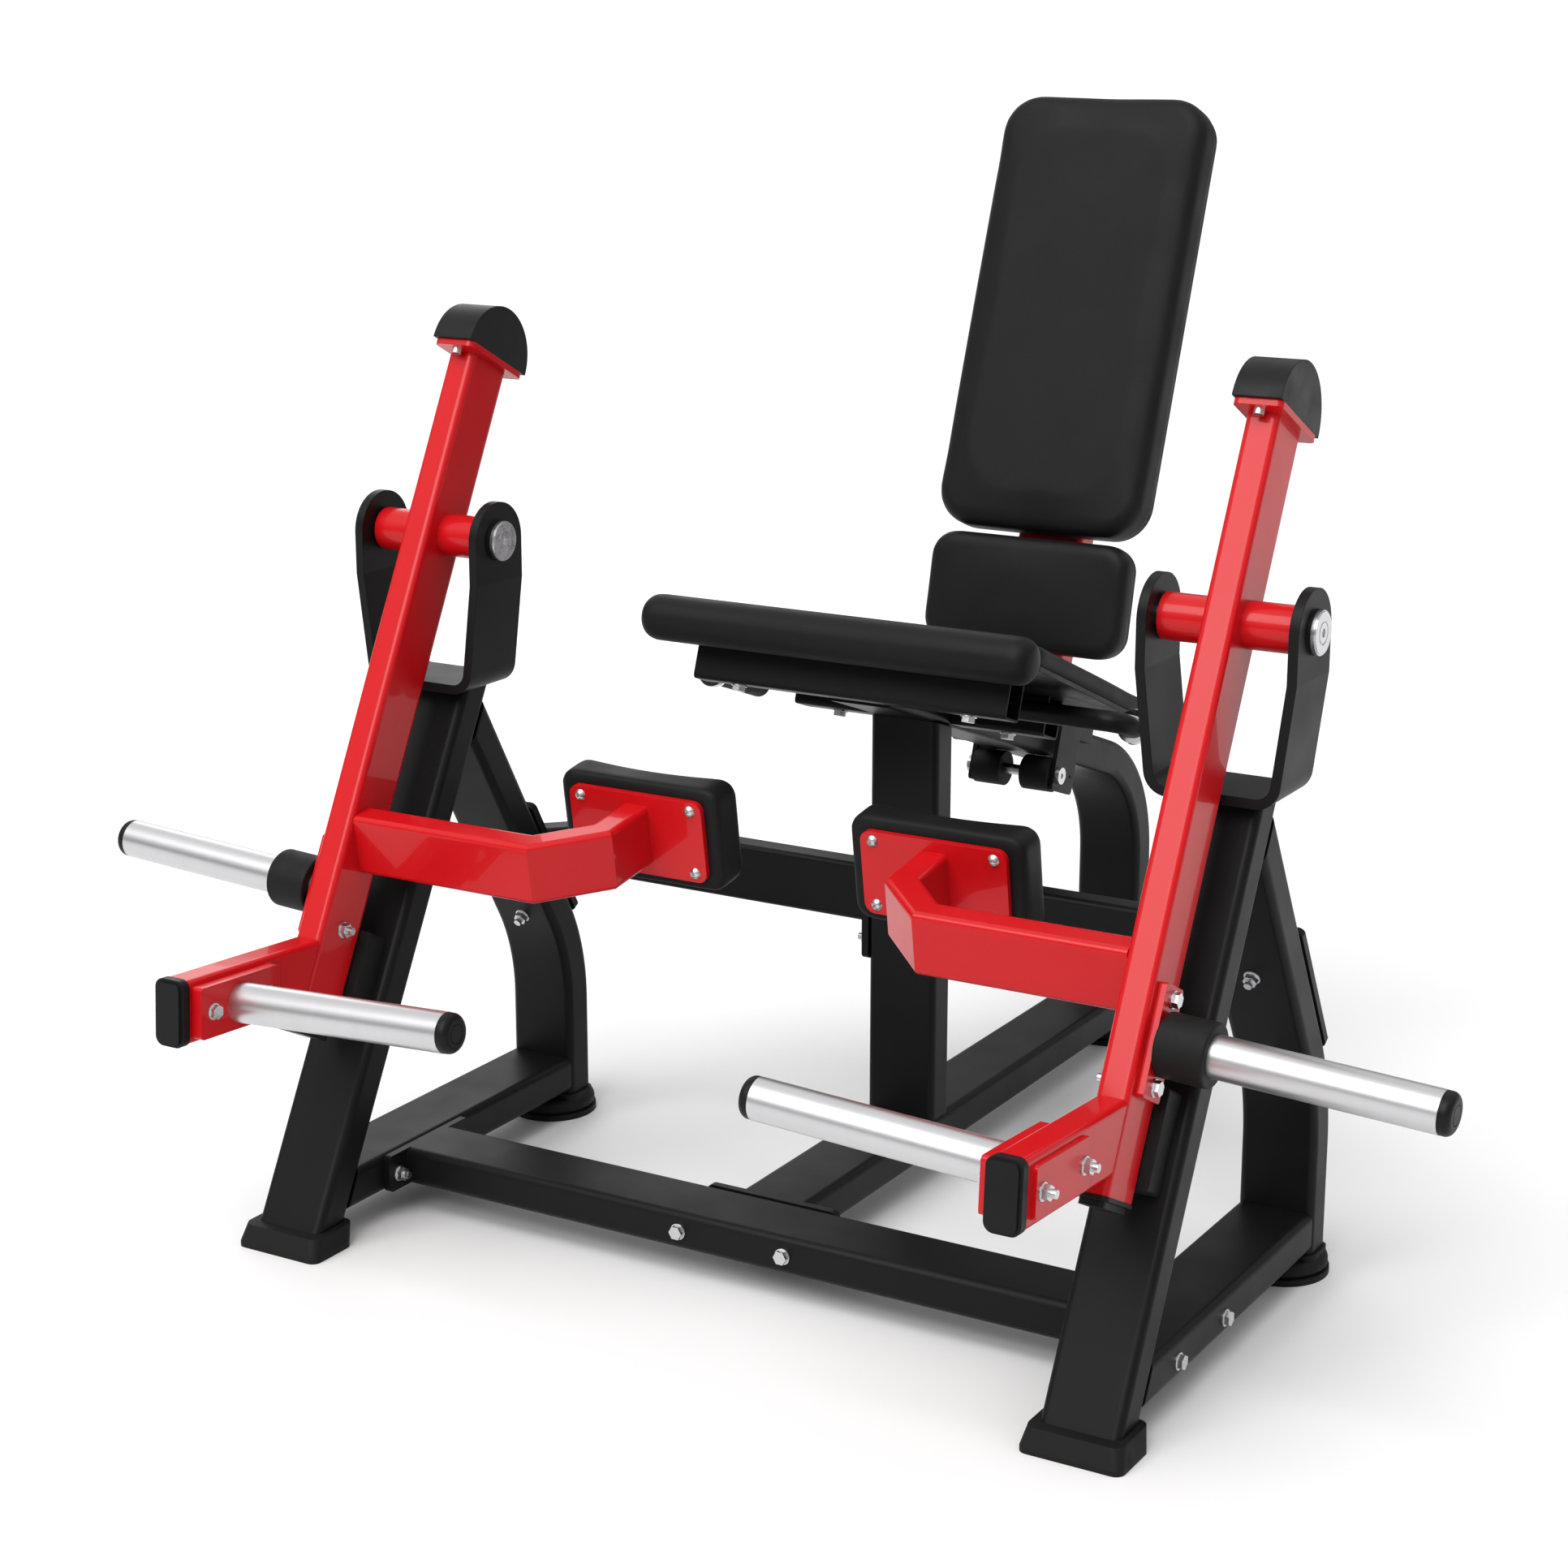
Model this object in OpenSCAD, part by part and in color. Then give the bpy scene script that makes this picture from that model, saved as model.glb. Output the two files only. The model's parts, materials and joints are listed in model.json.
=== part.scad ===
// Plate-loaded leg extension machine with two independent lever arms.
// X runs across the machine, Y runs from the foot end to the backrest, Z is up, millimetres.
// The modules are drawn with the lever pivot axis at y = 0 and with the right-hand side at +X;
// placed() moves them so that the origin lies on the floor under the middle of the machine.

/* [Frame] */
// Distance from the middle of the machine to each side frame
side_x = 560; // [520:1:600]
// Height of the lever pivot above the floor
pivot_z = 877; // [850:1:900]
// Lean of the front posts towards the backrest
post_lean = 28; // [27:0.5:29]
// Lean of the upper part of the rear legs
leg_lean = 30.3; // [29.5:0.1:31]
// Broad side of the main frame tubes
tube_w = 100; // [90:1:110]
// Narrow side of the main frame tubes
tube_h = 50; // [45:1:55]
// Wall thickness of all rectangular tubes
tube_wall = 3; // [2:0.5:4]

/* [Seat and backrest] */
// Slope of the seat beam, down towards the back
beam_slope = 19.5; // [18.5:0.5:20.5]
// Slope of the seat cushion
seat_slope = 22.5; // [22:0.5:23]
// Width of the seat cushion
seat_w = 530; // [480:5:560]
// Radius of the roll at the front of the seat
seat_roll_r = 32; // [28:1:34]
// Width of the upper back cushion
back_w = 316; // [280:2:340]
// Lean of the upper back cushion
back_lean = 20.3; // [19:0.1:21.5]
// Pitch of the holes that lock the backrest along the beam
lock_pitch = 25; // [20:1:30]

/* [Levers] */
// Lean of the levers at rest, foot end forwards
lever_lean = 27; // [26.5:0.1:27.5]
// Broad side of the lever tubes
arm_w = 80; // [70:1:90]
// Narrow side of the lever tubes
arm_t = 40; // [36:1:44]
// Radius of the weight plate sleeves
horn_r = 25; // [24:0.5:26]
// Upward tilt of the left outer sleeve towards its tip
left_horn_tilt = 3; // [-3:0.5:4]
// Upward tilt of the right outer sleeve towards its tip
right_horn_tilt = -3; // [-3:0.5:4]
// Upward tilt of the two inner sleeves towards their tips
inner_horn_tilt = 3; // [0:0.5:4]

/* [Hidden] */
frame_black = [0.09, 0.09, 0.09];
lever_red = [0.85, 0.05, 0.06];
pad_black = [0.11, 0.11, 0.12];
rubber_black = [0.06, 0.06, 0.06];
steel = [0.80, 0.80, 0.82];
big = 2000;                                   // side of the cubes that make flat cuts
fine = 64;                                    // segments of round parts
frame_r = 10;                                 // corner radius of the frame tubes
arm_r = 8;                                    // corner radius of the lever tubes
weld_seam = 0.02;                             // half the hairline left at mitred welds
rest_gap = 0.4;                               // air between a lever and its rubber stop
bolt_r = 5;
bolt_hole_r = 5.3;
screw_r = 4;
screw_hole_r = 4.2;

// Base of the side frames
post_floor_y = -348;                          // where the post axis meets the floor
base_z = 65;                                  // middle height of the floor rails
base_top = base_z + tube_h / 2;
leg_y = 235;                                  // upright part of the rear legs
leg_bend_r = 275;
leg_top = [23, 660];                          // y and z of a point on the slanted back face
leg_axis_y = leg_top[0] - tube_h / 2 * cos(leg_lean);
leg_axis_z = leg_top[1] - tube_h / 2 * sin(leg_lean);
leg_tangent = leg_bend_r * tan(leg_lean / 2);
leg_corner_z = leg_axis_z - (leg_y - leg_axis_y) / tan(leg_lean);
leg_bend_z = leg_corner_z - leg_tangent;
leg_bend_t = (leg_y - leg_axis_y) / sin(leg_lean) - leg_tangent;  // length of the slanted part
foot_seat = 22;                               // height at which the upright tubes end in their feet
foot_r = 62;
shoe_floor = 6;
cross_y = -136;                               // front crossmember
flange_t = 10;
rail_bolt_step = 68;                          // half the spacing of the bolts in the side rails
cross_bolt_x = 76;
post_mid_y = 277;                             // centre post
column_y = 935;                               // upright at the back
rear_rail_z = 394;                            // rear crossrails
rear_rail_bend_x = 463;
leg_plate_z = [-410, -208];                   // ends of the bolted plate along the rear leg
leg_bolt_z = [-379, -242];
end_plate_z = [304, 484];
end_bolt_z = [326, 462];
rail_plate_w = 176;                           // end plates of the front crossmember
centre_plate_w = 190;                         // front plate of the centre rail
bumper = [66, 119];
bumper_z = 350;                               // along the post
bumper_screw_z = [313, 388];

// Yokes that carry the lever pivots
yoke_base_z = 677;
yoke_t = 12;
yoke_d = 100;
yoke_foot_x = 84;                             // half-width just above the lower bend
yoke_ear_x = 98;                              // half-width of the upright ears
yoke_bend_r = 30;
yoke_splay_z = 823;                           // height where the splayed sides turn upright
shaft_r = 12.5;
shaft_fit = 0.05;
boss_r = 26.5;
boss_t = 4;
cap_r = 26;
cap_t = 6;

// Beam: s is measured back along the beam, n at right angles to it
beam_y = 260.3;
beam_z = 668.6;
beam_front = -127;
beam_bend_r = 190;
beam_corner_s = (column_y - beam_y) / cos(beam_slope);
beam_bend_s = beam_corner_s - beam_bend_r * tan((90 - beam_slope) / 2);
beam_bend_top = beam_z - beam_corner_s * sin(beam_slope) - beam_bend_r * tan((90 - beam_slope) / 2);
bracket_s = [-167, beam_front];
bracket_n = -22;                              // undersides of both seat brackets
bracket_w = 452;
bracket_h = 68;
bracket_bolt_x = 167;
wing_s = [36, 80];
wing_l = 136;
wing_h = 60;
wing_bolt_x = 126;
tube_slack = 30;                              // how far the seat bolts reach into the brackets
seat_back = [450, 625.5];                     // y and z of the rear lower edge of the seat
seat_l = 379;
seat_t = 34;
seat_corner_r = 22;
roll_s = -412;                                // roll axis along the seat and above its underside
roll_n = 2;
roll_l = 558;

// Handles beside the seat
handle_s = -8;
handle_n = 5;
handle_x = 314;
handle_r = 13.5;
handle_bend_r = 30;
collar_l = 12;
grip_l = 125;

// Backrest carriage
plate_x = 60;                                 // inner face of the side plates
plate_t = 6;
plate_s = [353, 420];
plate_n = [-72, 46];
roller_s = 367;
roller_r = 24.5;
roller_n = -tube_h / 2 - roller_r - 0.4;
axle_r = 7.5;
pin_s = 396;
pin_r = 5;
pin_travel = 14;
pin_housing_l = 22;
pin_housing_r = 12;
slider_gap = 0.4;
deck_s = [330, 474];
deck_t = 12;
deck_n = tube_h / 2 + slider_gap;
back_foot = [614, 839];                       // y and z of the lower front edge of the upper pad
back_h = 626;
back_t = 62;
back_plate_t = 6;
back_plate = [230, 70];
back_plate_z = [110, 400];                    // heights of the two plates behind the upper pad
lumbar_plate = [220, 90];
lumbar_plate_z = 85;
upright_top = 430;
lumbar_foot = [575, 673];
lumbar_lean = 13.3;
lumbar_h = 162;
lumbar_w = 308;
lumbar_t = 46;

// Levers: measured from the pivot, Z up along the lever, -Y towards the foot end
arm_y = -10;
arm_top = 236;
arm_bottom = -665;
housing_r = 28;
housing_x = 83;
bearing_r = 23.5;
bearing_t = 12;
head_plate = [60, 125, 8];
weight_r = 67;
weight_w = 60;
weight_screw_y = 50;
outer_horn_z = -486;
outer_horn_l = 324;
inner_horn_l = 312;
outer_horn_root = 64;                         // length under the rubber collar, a little thinner
inner_horn_root = 4;
horn_step = 0.4;                              // how much thinner the roots are in radius
horn_flange_t = 10;
horn_flange = [50, 130];
horn_flange_bolt = 50;
stub_z = -584.5;
stub_drop = 23.3;
stub_l = 274;
stub_flange_y = -197;
stub_flange_t = 16;
stub_flange = [145, 65];
stub_flange_bolt = 51;
stub_back_plate = [130, 60, 6];
pad_arm_y = -198;                             // where the pad arm leaves the lever
pad_arm_z = 510;
pad_arm_tilt = 9;
pad_plate_y = 140;
pad_plate = [198, 8, 110];
pad_arm_run = [[0, 0], [-282.2, 0], [-347, 64.8], [-347, pad_plate_y]];
shin_pad = [240, 57, 142];
shin_hollow = 12;                             // depth of the curved face of a shin pad
shin_curve_r = 612;
pad_screw = [82, 42.5];                       // half the spacing of the pad screws

// Footprint: the front end is the tip of the stub arm, the back is the foot of the column
stub_tip = stub_l + 16;
stub_tip_y = arm_y - stub_tip * cos(stub_drop) - arm_w / 2 * sin(stub_drop);
stub_tip_z = stub_z - stub_tip * sin(stub_drop) + arm_w / 2 * cos(stub_drop);
front_y = stub_tip_y * cos(lever_lean) + stub_tip_z * sin(lever_lean);
back_y = column_y + foot_r;
mid_y = (front_y + back_y) / 2;

// ---- Placing ----

module placed(side = 1) {
    translate([0, -mid_y, 0])
        if (side > 0) children();
        else mirror([1, 0, 0]) children();
}

// Turns a drawing in X and Y into one in Y and Z that is extruded along X
module in_yz() {
    rotate([90, 0, 90]) children();
}

module on_post() {
    translate([side_x, post_floor_y, 0]) rotate([-post_lean, 0, 0]) children();
}

// On the slanted back face of a rear leg, Y pointing out of the face
module on_leg_back() {
    translate([side_x, leg_top[0], leg_top[1]]) rotate([leg_lean, 0, 0]) children();
}

module on_beam() {
    translate([0, beam_y, beam_z]) rotate([-beam_slope, 0, 0]) children();
}

module on_seat() {
    translate([0, seat_back[0], seat_back[1]]) rotate([-seat_slope, 0, 0]) children();
}

module on_back() {
    translate([0, back_foot[0], back_foot[1]]) rotate([-back_lean, 0, 0]) children();
}

module on_lumbar() {
    translate([0, lumbar_foot[0], lumbar_foot[1]]) rotate([-lumbar_lean, 0, 0]) children();
}

module on_lever() {
    translate([side_x, 0, pivot_z]) rotate([-lever_lean, 0, 0]) children();
}

// The stub arm runs along -Y of this frame
module on_stub() {
    on_lever() translate([0, arm_y, stub_z]) rotate([stub_drop, 0, 0]) children();
}

module on_pad_arm() {
    translate([side_x, pad_arm_y, pad_arm_z]) rotate([pad_arm_tilt, 0, 0]) children();
}

module on_outer_horn(tilt) {
    on_lever() translate([arm_t / 2 + horn_flange_t, arm_y, outer_horn_z])
        rotate([0, 90 - tilt, 0]) children();
}

module on_inner_horn() {
    on_stub() translate([-arm_t / 2 - stub_flange_t, stub_flange_y, 0])
        rotate([0, -90 + inner_horn_tilt, 0]) children();
}

// ---- Shapes that repeat ----

module round_rect(w, h, r) {
    square([w - 2 * r, h], center = true);
    square([w, h - 2 * r], center = true);
    for (x = [-1, 1], y = [-1, 1])
        translate([x * (w / 2 - r), y * (h / 2 - r)]) circle(r, $fn = 32);
}

module tube_section(w, h, r) {
    difference() {
        round_rect(w, h, r);
        round_rect(w - 2 * tube_wall, h - 2 * tube_wall, r - tube_wall);
    }
}

// Tubes with their ends at z, y or x = 0
module tube_z(w, h, len, r = frame_r) {
    linear_extrude(len) tube_section(w, h, r);
}

module tube_y(w, h, len, r = frame_r) {
    rotate([-90, 0, 0]) tube_z(w, h, len, r);
}

module tube_x(d, h, len, r = frame_r) {
    rotate([90, 0, 90]) tube_z(d, h, len, r);
}

// Flat plate with rounded corners lying on z = 0
module plate(w, h, t, r = 8) {
    linear_extrude(t) round_rect(w, h, r);
}

// Space on the +Y side of the plane through the origin
module beyond_y() {
    translate([-big / 2, 0, -big / 2]) cube(big);
}

// Space on the -Y side of the plane through the origin
module before_y() {
    translate([-big / 2, -big, -big / 2]) cube(big);
}

// Space above the plane through the origin
module above_z() {
    translate([-big / 2, -big / 2, 0]) cube(big);
}

// Space below the plane through the origin
module below_z() {
    translate([-big / 2, -big / 2, -big]) cube(big);
}

// Mitred tube along points in the XY plane, d across and h high
module tube_run(points, d, h, r) {
    last = len(points) - 2;
    heading = [for (i = [0:last]) atan2(points[i + 1][1] - points[i][1], points[i + 1][0] - points[i][0])];
    for (i = [0:last]) {
        run = norm(points[i + 1] - points[i]);
        turn_in = i == 0 ? 0 : heading[i] - heading[i - 1];
        turn_out = i == last ? 0 : heading[i + 1] - heading[i];
        translate([points[i][0], points[i][1], 0]) rotate(heading[i]) difference() {
            translate([i == 0 ? 0 : -d, 0, 0])
                tube_x(d, h, run + (i == 0 ? 0 : d) + (i == last ? 0 : d), r);
            if (i > 0) rotate(-turn_in / 2) translate([weld_seam - big, -big / 2, -big / 2]) cube(big);
            if (i < last) translate([run, 0, 0]) rotate(turn_out / 2)
                translate([-weld_seam, -big / 2, -big / 2]) cube(big);
        }
    }
}

module washer(r, t, bore) {
    difference() {
        cylinder(r = r, h = t, $fn = 48);
        translate([0, 0, -1]) cylinder(r = bore, h = t + 2, $fn = 48);
    }
}

// Hexagon bolt: the head stands on z = 0 and the shank runs down through grip to a nut
module hex_bolt(grip, r = bolt_r, nut = true) {
    tip = nut ? 17 : 0;
    washer(r * 2.1, 2, r);
    translate([0, 0, 2]) cylinder(r = r * 1.85, h = r * 1.3, $fn = 6);
    translate([0, 0, -grip - tip]) cylinder(r = r, h = grip + tip + 2, $fn = 32);
    if (nut) translate([0, 0, -grip - 2]) {
        washer(r * 2.1, 2, r);
        translate([0, 0, -r * 1.6]) difference() {
            cylinder(r = r * 1.85, h = r * 1.6, $fn = 6);
            translate([0, 0, -1]) cylinder(r = r, h = r * 1.6 + 2, $fn = 32);
        }
    }
}

// Socket cap screw: the head stands on z = 0
module socket_screw(grip, r = screw_r, head_h = 8) {
    difference() {
        cylinder(r = r * 1.65, h = head_h, $fn = 48);
        translate([0, 0, head_h * 0.4]) cylinder(r = r * 0.85, h = head_h, $fn = 6);
    }
    translate([0, 0, -grip]) cylinder(r = r, h = grip, $fn = 32);
}

// Button-head screw: a low round head on z = 0
module button_screw(grip, r = screw_r) {
    difference() {
        rotate_extrude($fn = 48) intersection() {
            translate([0, -r * 0.75]) circle(r * 2.1, $fn = 64);
            square([r * 2.2, r * 1.3]);
        }
        translate([0, 0, r * 0.6]) cylinder(r = r * 0.7, h = r, $fn = 6);
    }
    translate([0, 0, -grip]) cylinder(r = r, h = grip, $fn = 32);
}

// Rubber or plastic end cap of a plate sleeve, with its spigot inside the sleeve
module horn_cap() {
    rotate_extrude($fn = fine) {
        difference() {
            union() {
                square([horn_r - 0.3, 5]);
                translate([0, 5]) square([horn_r - 9.3, 9]);
                intersection() {
                    translate([horn_r - 9.3, 5]) circle(9, $fn = 48);
                    translate([0, 4]) square([horn_r, 11]);
                }
            }
            translate([11, 13.2]) square([1.2, 2]);
        }
        translate([0, -14]) square([horn_r - tube_wall, 14]);
    }
}

// ---- Where the bolts go ----

module at_rail_bolts() {
    for (y = [-1, 1])
        translate([side_x + tube_w / 2, cross_y + y * rail_bolt_step, base_z - 3]) rotate([0, 90, 0]) children();
}

module at_cross_bolts() {
    for (x = [-1, 1])
        translate([x * cross_bolt_x, cross_y - tube_w / 2, base_z]) rotate([90, 0, 0]) children();
}

module at_leg_bolts() {
    for (z = leg_bolt_z) on_leg_back() translate([0, flange_t, z]) rotate([-90, 0, 0]) children();
}

module at_centre_bolts() {
    for (z = end_bolt_z)
        translate([tube_w / 2 + flange_t, post_mid_y, z]) rotate([0, 90, 0]) children();
}

module at_seat_bolts() {
    for (x = [-1, 1], place = [[bracket_bolt_x, (bracket_s[0] + bracket_s[1]) / 2], [wing_bolt_x, (wing_s[0] + wing_s[1]) / 2]])
        on_beam() translate([x * place[0], place[1], bracket_n]) rotate([180, 0, 0]) children();
}

module at_bumper_screws() {
    for (z = bumper_screw_z) on_post() translate([0, -tube_h / 2, z]) rotate([90, 0, 0]) children();
}

module at_outer_flange_bolts(rows = [-horn_flange_bolt, horn_flange_bolt]) {
    for (z = rows)
        on_lever() translate([arm_t / 2 + horn_flange_t, arm_y, outer_horn_z + z]) rotate([0, 90, 0]) children();
}

module at_stub_flange_bolts() {
    for (y = [-stub_flange_bolt, stub_flange_bolt])
        on_stub() translate([-arm_t / 2 - stub_flange_t, stub_flange_y + y, 0]) rotate([0, -90, 0]) children();
}

module at_weight_screws() {
    for (y = [-weight_screw_y, weight_screw_y])
        on_lever() translate([0, arm_y + y, arm_top]) rotate([180, 0, 0]) children();
}

module at_pad_screws() {
    for (x = [-1, 1], z = [-1, 1])
        on_pad_arm() translate([pad_arm_run[3][0] + x * pad_screw[0], pad_plate_y, z * pad_screw[1]])
            rotate([90, 0, 0]) children();
}

// ---- Frame ----

module post_shape(w, h, r) {
    on_post() translate([0, 0, -60]) linear_extrude(900) round_rect(w, h, r);
}

module front_post() {
    color(frame_black) difference() {
        intersection() {
            post_shape(tube_w, tube_h, frame_r);
            translate([side_x - tube_w, post_floor_y - tube_w, shoe_floor])
                cube([2 * tube_w, 600, yoke_base_z - shoe_floor]);
        }
        post_shape(tube_w - 2 * tube_wall, tube_h - 2 * tube_wall, frame_r - tube_wall);
        at_bumper_screws() translate([0, 0, -6]) cylinder(r = 3, h = 7, $fn = 32);
    }
}

module rear_leg() {
    color(frame_black) difference() {
        union() {
            translate([side_x, leg_y, foot_seat]) tube_z(tube_w, tube_h, leg_bend_z - foot_seat);
            translate([side_x, leg_y - leg_bend_r, leg_bend_z]) in_yz()
                rotate_extrude(angle = leg_lean, $fn = 128)
                    translate([leg_bend_r, 0]) tube_section(tube_h, tube_w, frame_r);
            on_leg_back() translate([0, -tube_h / 2, -leg_bend_t]) tube_z(tube_w, tube_h, leg_bend_t + 90);
        }
        on_post() translate([0, tube_h / 2, 0]) before_y();
        at_leg_bolts() translate([0, 0, -80]) cylinder(r = bolt_hole_r, h = 90, $fn = 32);
    }
}

module side_rail() {
    color(frame_black) difference() {
        translate([side_x, -400, base_z]) tube_y(tube_w, tube_h, 400 + leg_y - tube_h / 2);
        on_post() translate([0, tube_h / 2, 0]) before_y();
        at_rail_bolts() translate([0, 0, -130]) cylinder(r = bolt_hole_r, h = 140, $fn = 32);
    }
}

// Half of the strap's outline, t in from the outer face
module yoke_half(t) {
    r = yoke_bend_r - t;
    turn = 90 - atan2(yoke_ear_x - yoke_foot_x, yoke_splay_z - yoke_base_z - yoke_bend_r);
    polygon(concat(
        [[-1, t], [yoke_foot_x - yoke_bend_r, t]],
        [for (i = [1:8]) [yoke_foot_x - yoke_bend_r + r * sin(turn * i / 8), yoke_bend_r - r * cos(turn * i / 8)]],
        [[yoke_ear_x - t, yoke_splay_z - yoke_base_z], [yoke_ear_x - t, 400], [-1, 400]]
    ));
}

module yoke() {
    color(frame_black) difference() {
        union() {
            intersection() {
                translate([side_x, yoke_d / 2, yoke_base_z]) rotate([90, 0, 0]) linear_extrude(yoke_d)
                    difference() {
                        for (m = [0, 1]) mirror([m, 0]) yoke_half(0);
                        for (m = [0, 1]) mirror([m, 0]) yoke_half(yoke_t);
                    }
                union() {
                    translate([side_x - 150, -yoke_d / 2, 0]) cube([300, yoke_d, pivot_z]);
                    translate([side_x - 150, 0, pivot_z]) rotate([0, 90, 0])
                        cylinder(r = yoke_d / 2, h = 300, $fn = 128);
                }
            }
            for (x = [-yoke_ear_x - boss_t, yoke_ear_x])
                translate([side_x + x, 0, pivot_z]) rotate([0, 90, 0]) cylinder(r = boss_r, h = boss_t, $fn = fine);
        }
        translate([side_x - 150, 0, pivot_z]) rotate([0, 90, 0]) cylinder(r = shaft_r, h = 300, $fn = fine);
    }
}

module front_crossmember() {
    reach = side_x - tube_w / 2;
    color(frame_black) difference() {
        union() {
            translate([-reach + flange_t, cross_y, base_z]) tube_x(tube_w, tube_h, 2 * (reach - flange_t));
            for (x = [-reach, reach - flange_t])
                translate([x, cross_y, base_z]) rotate([90, 0, 90]) plate(rail_plate_w, tube_h, flange_t);
        }
        for (m = [0, 1]) mirror([m, 0, 0])
            at_rail_bolts() translate([0, 0, -130]) cylinder(r = bolt_hole_r, h = 140, $fn = 32);
        at_cross_bolts() translate([0, 0, -125]) cylinder(r = bolt_hole_r, h = 130, $fn = 32);
    }
}

module centre_rail() {
    start = cross_y + tube_w / 2;
    color(frame_black) difference() {
        union() {
            translate([0, start + flange_t, base_z])
                tube_y(tube_w, tube_h, column_y - tube_h / 2 - start - flange_t);
            translate([0, start + flange_t, base_z]) rotate([90, 0, 0]) plate(centre_plate_w, tube_h, flange_t);
        }
        at_cross_bolts() translate([0, 0, -125]) cylinder(r = bolt_hole_r, h = 130, $fn = 32);
    }
}

module centre_post() {
    color(frame_black) difference() {
        translate([0, post_mid_y, base_top]) tube_z(tube_w, tube_h, 650);
        on_beam() translate([0, 0, -tube_h / 2]) above_z();
        at_centre_bolts() translate([0, 0, -130]) cylinder(r = bolt_hole_r, h = 140, $fn = 32);
    }
}

module lock_holes(r, count) {
    for (i = [-count:count])
        on_beam() translate([-tube_w / 2 - 1, pin_s + i * lock_pitch, 0]) rotate([0, 90, 0])
            cylinder(r = r, h = 20, $fn = 32);
}

module seat_beam() {
    color(frame_black) difference() {
        on_beam() translate([0, beam_front, 0]) tube_y(tube_w, tube_h, beam_bend_s - beam_front);
        lock_holes(pin_r + 0.5, 4);
    }
}

module rear_column() {
    color(frame_black) {
        on_beam() translate([0, beam_bend_s, -beam_bend_r]) in_yz() rotate([0, 0, beam_slope])
            rotate_extrude(angle = 90 - beam_slope, $fn = 128)
                translate([beam_bend_r, 0]) tube_section(tube_h, tube_w, frame_r);
        translate([0, column_y, foot_seat]) tube_z(tube_w, tube_h, beam_bend_top - weld_seam - foot_seat);
    }
}

module rear_crossrail() {
    reach = side_x - rear_rail_bend_x + 60;
    color(frame_black) difference() {
        union() {
            difference() {
                translate([0, post_mid_y, rear_rail_z])
                    tube_run([[tube_w / 2 + flange_t, 0], [rear_rail_bend_x, 0],
                        [rear_rail_bend_x + reach, -reach]], 40, 80, arm_r);
                on_leg_back() translate([0, flange_t, 0]) before_y();
            }
            translate([tube_w / 2, post_mid_y, (end_plate_z[0] + end_plate_z[1]) / 2]) rotate([90, 0, 90])
                plate(tube_h, end_plate_z[1] - end_plate_z[0], flange_t);
            on_leg_back() translate([0, flange_t, (leg_plate_z[0] + leg_plate_z[1]) / 2]) rotate([90, 0, 0])
                plate(tube_w, leg_plate_z[1] - leg_plate_z[0], flange_t);
        }
        at_leg_bolts() translate([0, 0, -80]) cylinder(r = bolt_hole_r, h = 90, $fn = 32);
        at_centre_bolts() translate([0, 0, -130]) cylinder(r = bolt_hole_r, h = 140, $fn = 32);
    }
}

module front_shoe() {
    color(rubber_black) difference() {
        hull() {
            translate([side_x, post_floor_y, 0]) plate(128, 78, 6, 12);
            translate([side_x, post_floor_y + 10, 24]) plate(118, 80, 5, 14);
        }
        intersection() {
            post_shape(tube_w, tube_h, frame_r);
            translate([0, 0, shoe_floor]) above_z();
        }
    }
}

module rear_foot(x, y) {
    color(rubber_black) translate([x, y, 0]) difference() {
        union() {
            rotate_extrude($fn = fine) {
                square([foot_r, 8]);
                square([foot_r - 7, 14]);
                translate([0, 12]) square([foot_r - 2, 6]);
                intersection() {
                    translate([foot_r - 12, 18]) circle(10, $fn = 32);
                    translate([0, 17]) square([foot_r, 12]);
                }
                translate([0, 18]) square([foot_r - 12, 10]);
            }
            translate([0, 0, 20]) plate(tube_w + 8, tube_h + 8, 15, frame_r + 4);
        }
        translate([0, 0, foot_seat]) plate(tube_w, tube_h, 40, frame_r);
    }
}

module lever_bumper() {
    color(rubber_black) difference() {
        intersection() {
            on_post() translate([0, 0, bumper_z]) rotate([90, 0, 0]) plate(bumper[0], bumper[1], 90, 5);
            on_post() translate([0, -tube_h / 2, 0]) before_y();
            on_lever() translate([0, arm_y + arm_w / 2 + rest_gap, 0]) beyond_y();
        }
        at_bumper_screws() {
            translate([0, 0, -1]) cylinder(r = 3.3, h = 60, $fn = 32);
            translate([0, 0, 14]) cylinder(r = 7.5, h = 60, $fn = 32);
        }
    }
}

// ---- Seat and handles ----

// Underside of the seat, cut away from what carries it
module above_seat_line() {
    on_seat() above_z();
}

module front_seat_bracket() {
    depth = bracket_s[1] - bracket_s[0];
    color(frame_black) difference() {
        on_beam() translate([-bracket_w / 2, bracket_s[0] + depth / 2, bracket_n + bracket_h / 2])
            difference() {
                tube_x(depth, bracket_h, bracket_w, 6);
                for (x = [16, bracket_w - 16])
                    translate([x, 0, bracket_h / 2 - 3]) cube([50, 50, 10], center = true);
            }
        above_seat_line();
        at_seat_bolts() translate([0, 0, -90]) cylinder(r = bolt_hole_r, h = 92, $fn = 32);
    }
}

module rear_seat_bracket() {
    depth = wing_s[1] - wing_s[0];
    color(frame_black) difference() {
        for (m = [0, 1]) mirror([m, 0, 0])
            on_beam() translate([tube_w / 2, (wing_s[0] + wing_s[1]) / 2, bracket_n + wing_h / 2])
                tube_x(depth, wing_h, wing_l, 6);
        above_seat_line();
        at_seat_bolts() translate([0, 0, -90]) cylinder(r = bolt_hole_r, h = 92, $fn = 32);
    }
}

module seat_pad() {
    color(pad_black) difference() {
        on_seat() translate([0, -seat_l / 2, 0]) plate(seat_w, seat_l, seat_t, seat_corner_r);
        on_beam() translate([0, 0, tube_h / 2 + slider_gap]) below_z();
    }
}

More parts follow.
